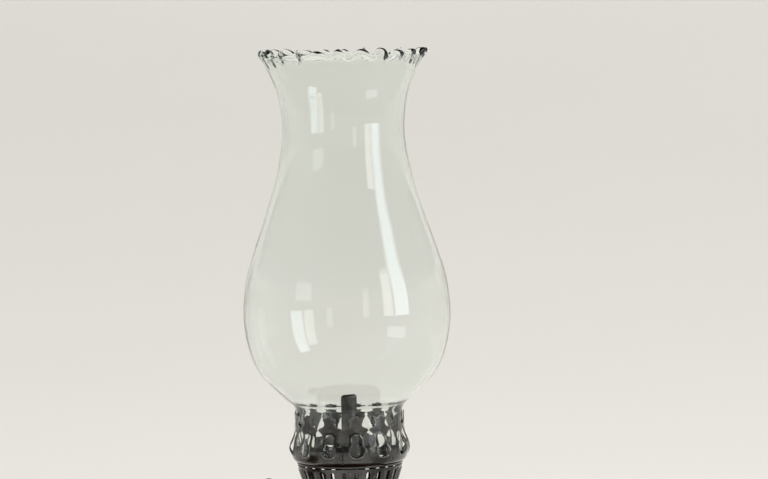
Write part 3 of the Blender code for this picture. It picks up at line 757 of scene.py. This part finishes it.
def add_raiser(metal):
    """Bush, shaft, knob and hubs, all about the shaft's own axis."""
    start = 23.3
    bush = [(1.35, start), (2.45, start), (2.5, 28.5), (4.0, 28.5), (4.0, 29.2), (3.3, 29.7),
            (1.35, 29.7)]
    add_piece("bush_flanged", along_shaft(turned(rounded(bush, 0.25, 4), 72)), metal, "burner",
              ["shaft_bush"])
    end = KNOB_REACH + 2.7
    rod = [(0, -7.4), (0.9, -7.4), (1.1, -7.1), (1.1, end - 0.4), (0.8, end), (0, end)]
    add_piece("shaft_rod", along_shaft(turned(rod, 40, closed=False)), metal, "wick_raiser",
              ["wick_shaft"])
    half = [(1.2, 1.05), (5.0, 1.05), (5.6, 1.3), (6.4, 1.3), (7.0, 0.75), (9.4, 0.75), (10.1, 1.3),
            (11.3, 1.3), (12.0, 0.9)]
    outline = [*half, *[(r, -z) for r, z in reversed(half)]]

    def knurl(angle, r, z):
        ridge = np.abs((angle * 60 / TURN) % 1.0 - 0.5) * 2
        share = np.clip((r - 11.0) / 0.9, 0, 1)
        r = r - share * 0.42 * (1 - ridge)
        petal = np.exp(-((r - 8.2) / 0.9) ** 2) * 0.28 * np.maximum(0, np.cos(10 * angle))
        return r, z + np.sign(z) * petal

    bm = turned(rounded(outline, 0.28, 4), 480, knurl)
    add_piece("knob_thumbwheel", along_shaft(bm, KNOB_REACH), metal, "wick_raiser", ["wick_knob"],
              45)
    hub = [(1.2, 1.62), (4.5, 1.62), (4.6, 2.0), (4.2, 2.6), (3.0, 3.05), (1.2, 3.2)]
    for name, node, side in (("hub_outer_domed", "knob_hub_outer", 1),
                             ("hub_inner_domed", "knob_hub_inner", -1)):
        outline = [(r, side * z) for r, z in rounded(hub, 0.3, 4)]
        add_piece(name, along_shaft(turned(outline, 72), KNOB_REACH), metal, "wick_raiser", [node])


def add_wick(cotton):
    """A flat tape of ribs with a ragged, burnt top."""
    draw = random.Random(3)
    count = 120
    rings = []
    top = TUBE_TOP_Z + 1.0
    heights = [WICK_BOTTOM_Z, *np.arange(WICK_BOTTOM_Z + 4, top - 14, 4.0),
               *np.arange(top - 14, top - 0.6, 0.5), top - 0.35, top - 0.1]
    around, plan = spread(flat_oval(8.7, 1.9, 12), count)
    outward = np.stack([np.roll(plan, -1, 0)[:, 1] - np.roll(plan, 1, 0)[:, 1],
                        np.roll(plan, 1, 0)[:, 0] - np.roll(plan, -1, 0)[:, 0]], 1)
    outward /= np.linalg.norm(outward, axis=1)[:, None]
    ragged = np.array([draw.uniform(-0.25, 0.05) for _ in range(count)])
    for i, z in enumerate(heights):
        rib = 0.09 * np.cos(around * TURN / 0.95 + (i % 2) * math.pi) - 0.09
        close = max(0.0, (z - (top - 0.5)) / 0.4)
        points = plan + outward * (rib - 0.35 * close**2)[:, None]
        turned_points = facing_raiser([tuple(p) for p in points], 0)
        burnt = min(1.0, max(0.0, (z - (top - 1.2)) / 1.0))
        rings.append([(p[0], p[1], z + ragged[k] * burnt) for k, p in enumerate(turned_points)])
    add_piece("wick_woven", from_rings(rings, closed=False), cotton, "wick_tape", ["wick"],
              60)


# ---------------------------------------------------------------- font and pedestal


def add_font(metal):
    """The font's two spun halves, grooved above, and the roped band rolled over their seam."""
    seam, wide = SEAM_Z, FONT_RADIUS
    upper = smooth_line([(wide, seam + 0.15), (wide, seam + 2.4), (63.6, seam + 9.0),
                         (56.8, seam + 16.2), (46.6, seam + 22.6), (36.0, seam + 26.6),
                         (25.0, seam + 29.2), (13.0, seam + 30.6)], 10)
    grooved = []
    for r, z in upper:
        dip = sum(0.35 * math.exp(-((r - at) / 0.5) ** 2) for at in (55.6, 53.9, 24.0))
        grooved.append((r, z - dip))
    wall = [*grooved, *reversed(offset_line(upper, SPUN_SHEET))]
    add_piece("font_dome", turned(wall, 200), metal, "lamp_base", ["font_upper"], 50)
    lower = smooth_line([(0, seam - 35.8), (14.0, seam - 35.5), (26.0, seam - 33.5),
                         (38.0, seam - 29.7), (48.5, seam - 24.1), (57.6, seam - 16.4),
                         (64.4, seam - 7.0), (wide, seam - 2.4), (wide, seam - 0.15)], 10)
    inner = [(max(0.0, r), z) for r, z in offset_line(lower, SPUN_SHEET)]
    inner[0] = (0.0, inner[0][1])
    bowl = turned([*lower, *reversed(inner)], 200, closed=False)
    add_piece("font_bowl", bowl, metal, "lamp_base", ["font_lower"], 50)
    ring = [(wide + 0.3, seam - 1.75), (wide + 0.9, seam - 1.6), (wide + 1.55, seam - 0.8),
            (wide + 1.75, seam), (wide + 1.55, seam + 0.8), (wide + 0.9, seam + 1.6),
            (wide + 0.3, seam + 1.75)]

    def rope(angle, r, z):
        twist = np.cos(150 * angle + (z - seam) * 1.6)
        return np.where(r > wide + 0.6, r - 0.14 * (1 - twist) / 2, r), z

    add_piece("seam_band_roped", turned(rounded(ring, 0.3, 3), 900, rope), metal, "lamp_base",
              ["font_seam_band"])


def add_collar(metal):
    """The font's collar: a flange, a milled neck and a thread inside."""
    top, face = COLLAR_TOP_Z, SEAM_Z + 31.0
    outline = [(11.35, 160.6), (12.5, 160.6), (12.5, face), (20.0, face), (20.4, face + 0.9),
               (19.0, face + 1.8), (16.4, face + 2.3), (15.5, face + 3.4), (15.4, top - 2.0),
               (16.2, top - 1.3), (16.2, top - 0.4), (15.8, top), (11.6, top)]
    line = rounded(outline, 0.3, 4)
    dense = divided(zip(line, [*line[1:], line[0]]),
                    lambda a, b: 0.2 if a[0] < 12.0 and b[0] < 12.0 else 2.0)

    def shape(angle, r, z):
        share = (z / THREAD_PITCH - angle / TURN) % 1.0
        thread = (r < 11.62) & (z > 161) & (z < top - 0.5)
        r = np.where(thread, 11.35 + 0.4 * np.abs(2 * share - 1), r)
        milled = (r > 16.0) & (r < 16.3) & (z > top - 1.4)
        return np.where(milled, r - 0.13 * (1 + np.cos(72 * angle)) / 2, r), z

    add_piece("collar_threaded", turned(dense, 432, shape), metal, "lamp_base", ["font_collar"],
              40)


def add_stem(metal):
    """A turned baluster with beads above and below its knop."""
    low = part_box("stem")[0].z / MM
    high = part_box("stem")[1].z / MM
    side = smooth_line([(12.2, low + 3.2), (9.4, low + 7.4), (8.3, low + 13.6), (9.2, low + 20.6),
                        (11.6, low + 25.6)], 8)
    neck = smooth_line([(11.6, high - 20.4), (8.9, high - 16.6), (8.7, high - 12.9),
                        (11.2, high - 8.9)], 8)
    top = smooth_line([(13.0, high - 6.8), (15.6, high - 4.2), (17.6, high - 2.9)], 5)
    outline = [(3.6, low), (15.8, low), (16.2, low + 0.7), (16.0, low + 1.5), (14.4, low + 2.0),
               (13.9, low + 2.8), *side, (13.6, low + 26.4), (14.2, low + 27.4), (13.8, low + 28.2),
               (14.4, low + 29.6), (14.6, low + 32.1), (14.2, low + 34.2), (13.5, low + 35.4),
               (13.9, low + 36.1), (13.3, low + 36.9), *neck, (12.2, high - 8.3), (12.6, high - 7.4),
               *top, (18.4, high - 2.0), (18.3, high - 0.6), (18.0, high), (3.6, high)]
    add_piece("stem_turned", turned(rounded(outline, 0.35, 3), 160), metal, "lamp_base", ["stem"],
              45)


def add_foot(metal):
    """A spun foot, hollow below, that rises in an ogee to the stem."""
    rim = FOOT_RADIUS
    slope = smooth_line([(56.6, 10.9), (49.0, 13.3), (39.0, 18.4), (30.0, 25.4), (23.6, 32.4)], 10)
    outer = [(rim, 2.3), (rim, 4.9), (rim - 0.5, 6.3), (rim - 1.8, 7.4), (rim - 3.4, 7.8),
             (rim - 4.0, 8.3), (rim - 6.6, 8.6), (rim - 7.6, 8.8), (57.6, 9.4), (57.3, 10.4), *slope,
             (21.2, 34.6), (20.8, 35.6), (19.0, 36.6), (18.0, 37.4), (17.6, 38.6), (17.2, 40.05),
             (3.7, 40.05)]
    outer = rounded(outer, 0.5, 4, closed=False)
    inner = [(max(3.7, r), z) for r, z in offset_line(
        smooth_line([(rim, 2.3), (rim, 5.0), (rim - 2.2, 7.3), (58.4, 8.8), (56.9, 10.7),
                     (49.0, 13.2), (39.0, 18.4), (30.0, 25.4), (23.0, 33.4), (19.6, 36.6),
                     (17.6, 38.5), (15.0, 40.0), (3.6, 40.0)], 4), 1.15)]
    bm = turned([*outer, *reversed(inner)], 220)
    add_piece("foot_spun", bm, metal, "lamp_base", ["foot"], 45)


def add_felt(felt):
    """A cut disc, its edge slightly furry and its faces slightly uneven."""
    r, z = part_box("felt_pad")[1].x / MM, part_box("felt_pad")[1].z / MM
    outline = [(0, 0), (r - 14, 0), (r - 3, 0), (r - 0.5, 0.02), (r - 0.08, 0.5), (r - 0.08, z - 0.4),
               (r - 0.5, z - 0.03), (r - 3, z - 0.02), (r - 14, z - 0.02), (0, z - 0.02)]

    def fuzz(angle, reach, height):
        ragged = 0.08 * (np.sin(97 * angle + 3 * height) + np.sin(61 * angle + 1.3) * 0.7)
        return np.where(reach > r - 1, reach - 0.28 + ragged, reach), height

    add_piece("felt_disc", turned(outline, 720, fuzz, closed=False), felt, "lamp_base", ["felt_pad"],
              50)


def finish_cad_nodes(looks):
    """Pieces hidden inside stay as the CAD made them, with a finish and softened edges."""
    for node, material in looks.items():
        obj = frame["nodes"][node]
        obj.data.materials.clear()
        obj.data.materials.append(material)
        bevel = obj.modifiers.new("edges", "BEVEL")
        bevel.width = 0.05 * MM
        bevel.segments = 2
        bevel.limit_method = "ANGLE"
        bevel.angle_limit = math.radians(40)


# ---------------------------------------------------------------- stage, light and camera


def add_stage():
    """A round pale floor that curves up into a wall, so no edge shows from any side."""
    radius, flat, rise = 6500.0, 1500.0, 1500.0
    line = [(0.0, 0.0), (300.0, 0.0), (flat, 0.0)]
    line += [(flat + (radius - flat) * math.sin(a), rise - rise * math.cos(a))
             for a in np.linspace(0, math.pi / 2, 48)[1:]]
    bm = bmesh.new()
    sides = 96
    rows = []
    for r, z in line:
        if r == 0:
            rows.append([bm.verts.new((0, 0, z * MM))] * sides)
        else:
            rows.append([bm.verts.new((r * math.cos(TURN * i / sides) * MM,
                                       r * math.sin(TURN * i / sides) * MM, z * MM))
                         for i in range(sides)])
    for low, high in zip(rows, rows[1:]):
        for i in range(sides):
            j = (i + 1) % sides
            bm.faces.new(list(dict.fromkeys((low[i], low[j], high[j], high[i]))))
    mesh = bpy.data.meshes.new("floor")
    bm.to_mesh(mesh)
    bm.free()
    mesh.shade_smooth()
    mesh.materials.append(floor_material())
    floor = bpy.data.objects.new("floor", mesh)
    bpy.context.scene.collection.objects.link(floor)


def add_area_light(name, place, aim, size, power, colour):
    """A soft rectangular light that stands at a place and faces another."""
    data = bpy.data.lights.new(name, "AREA")
    data.shape = "RECTANGLE"
    data.size, data.size_y = size
    data.energy = power
    data.color = colour
    light = bpy.data.objects.new(name, data)
    light.location = place
    light.rotation_euler = (Vector(aim) - Vector(place)).to_track_quat("-Z", "Y").to_euler()
    light.visible_camera = False
    bpy.context.scene.collection.objects.link(light)
    return light


def towards(azimuth, distance, height):
    """A place seen from the lamp at that many degrees to the right of the viewer's direction."""
    a = math.radians(azimuth)
    return Vector((math.sin(a) * distance, -math.cos(a) * distance, height))


def hide_behind_glass(data):
    """Keep a light out of sight straight through the glass, where only its reflections belong."""
    data.use_nodes = True
    tree = data.node_tree
    path = tree.nodes.new("ShaderNodeLightPath")

    def math_node(operation, first, second):
        node = tree.nodes.new("ShaderNodeMath")
        node.operation = operation
        node.use_clamp = True
        for socket, value in zip(node.inputs, (first, second)):
            if isinstance(value, float):
                socket.default_value = value
            else:
                tree.links.new(value, socket)
        return node.outputs[0]

    bounced = math_node("ADD", path.outputs["Glossy Depth"], path.outputs["Diffuse Depth"])
    straight = math_node("SUBTRACT", path.outputs["Transmission Depth"], bounced)
    shown = math_node("SUBTRACT", 1.0, straight)
    tree.links.new(math_node("MAXIMUM", bounced, shown), tree.nodes["Emission"].inputs["Strength"])


def add_panel(name, azimuth, distance, width, low, high, radiance, colour):
    """An upright light of even brightness that faces the lamp."""
    place = towards(azimuth, distance, (low + high) / 2)
    power = radiance * math.pi * width * (high - low)
    light = add_area_light(name, place, (0, 0, place.z), (width, high - low), power, colour)
    hide_behind_glass(light.data)


def add_lights():
    """A tall window in two casements to the right, a second farther off, and a soft light overhead."""
    add_panel("window_sky", 62.5, 1.35, 0.40, 0.285, 1.27, 3.3, (0.80, 0.92, 1.0))
    add_panel("window_curtain", 46.5, 1.35, 0.27, 0.285, 1.05, 2.3, (1.0, 0.98, 0.94))
    add_panel("window_low", 55, 0.75, 0.30, 0.05, 0.155, 1.3, (0.95, 0.98, 1.0))
    add_panel("far_window", 21, 2.4, 0.30, 0.26, 0.95, 1.1, (1.0, 0.95, 0.82))
    overhead = add_area_light("overhead", (1.5, -5.0, 8.0), (0, 6.0, 0.3), (7.0, 5.0), 1390,
                              (1.0, 0.985, 0.955))
    overhead.visible_glossy = False
    overhead.visible_transmission = False


def add_room_glow():
    """The glow of a pale room, dimmer overhead and behind the viewer."""
    world = bpy.data.worlds.new("room")
    bpy.context.scene.world = world
    world.use_nodes = True
    tree = world.node_tree
    coords = tree.nodes.new("ShaderNodeTexCoord")
    parts = tree.nodes.new("ShaderNodeSeparateXYZ")
    tree.links.new(coords.outputs["Generated"], parts.inputs[0])
    background = tree.nodes["Background"]
    background.inputs[0].default_value = (1.0, 0.985, 0.95, 1)
    up = tree.nodes.new("ShaderNodeMapRange")
    up.interpolation_type = "SMOOTHSTEP"
    side = tree.nodes.new("ShaderNodeMapRange")
    side.interpolation_type = "SMOOTHSTEP"
    for remap, source, values in ((up, 2, (0.05, 0.75, 0.62, 0.30)),
                                  (side, 1, (-0.9, 0.3, 0.35, 1.0))):
        tree.links.new(parts.outputs[source], remap.inputs["Value"])
        for key, value in zip(("From Min", "From Max", "To Min", "To Max"), values):
            remap.inputs[key].default_value = value
    product = tree.nodes.new("ShaderNodeMath")
    product.operation = "MULTIPLY"
    tree.links.new(up.outputs[0], product.inputs[0])
    tree.links.new(side.outputs[0], product.inputs[1])
    tree.links.new(product.outputs[0], background.inputs[1])


def add_camera():
    """The viewpoint: level with the chimney's mouth, looking slightly down through a long lens."""
    distance, height = 2.15, 0.478
    yaw, pitch, roll = (math.radians(a) for a in (0.638, -3.382, -1.151))
    forward = Vector((math.sin(yaw) * math.cos(pitch), math.cos(yaw) * math.cos(pitch),
                      math.sin(pitch)))
    right = Vector((math.cos(yaw), -math.sin(yaw), 0))
    up = right.cross(forward)
    rolled_right = right * math.cos(roll) + up * math.sin(roll)
    rolled_up = up * math.cos(roll) - right * math.sin(roll)
    turn = Matrix((rolled_right, rolled_up, -forward)).transposed()
    data = bpy.data.cameras.new("camera")
    data.sensor_width = 36
    data.lens = 162.5
    camera = bpy.data.objects.new("camera", data)
    camera.matrix_world = Matrix.Translation((0, -distance, height)) @ turn.to_4x4()
    bpy.context.scene.collection.objects.link(camera)
    bpy.context.scene.camera = camera


def main():
    glass = glass_material()
    smoked = aged_metal("smoked_brass_material", (0.125, 0.125, 0.125), (0.022, 0.021, 0.020),
                        (0.24, 0.225, 0.20), (0.12, 0.27))
    brass = aged_metal("worn_brass_material", (0.48, 0.31, 0.13), (0.16, 0.09, 0.04),
                       (0.70, 0.50, 0.25), (0.24, 0.42))
    bronze = aged_metal("aged_bronze_material", (0.34, 0.19, 0.10), (0.085, 0.045, 0.026),
                        (0.62, 0.40, 0.22), (0.24, 0.44), spun=True, relief=0.00002)
    cotton, felt = wick_material(), felt_material()
    iron, steel = iron_material(), steel_material()

    add_chimney(glass)
    add_crown(smoked)
    add_bead(smoked)
    add_basket(smoked)
    add_floor_plate(smoked)
    add_wick_tube(smoked)
    add_deflector(smoked)
    add_burner_base(smoked)
    add_raiser(brass)
    add_wick(cotton)
    add_font(bronze)
    add_collar(bronze)
    add_stem(bronze)
    add_foot(bronze)
    add_felt(felt)
    finish_cad_nodes({"wheel_housing": smoked, "spur_wheel_1": brass, "spur_wheel_2": brass,
                      "foot_ballast": iron, "tie_rod": steel, "tie_washer": steel,
                      "tie_nut": steel})
    add_stage()
    add_lights()
    add_room_glow()
    add_camera()
    bpy.context.scene.view_settings.view_transform = "Standard"


main()
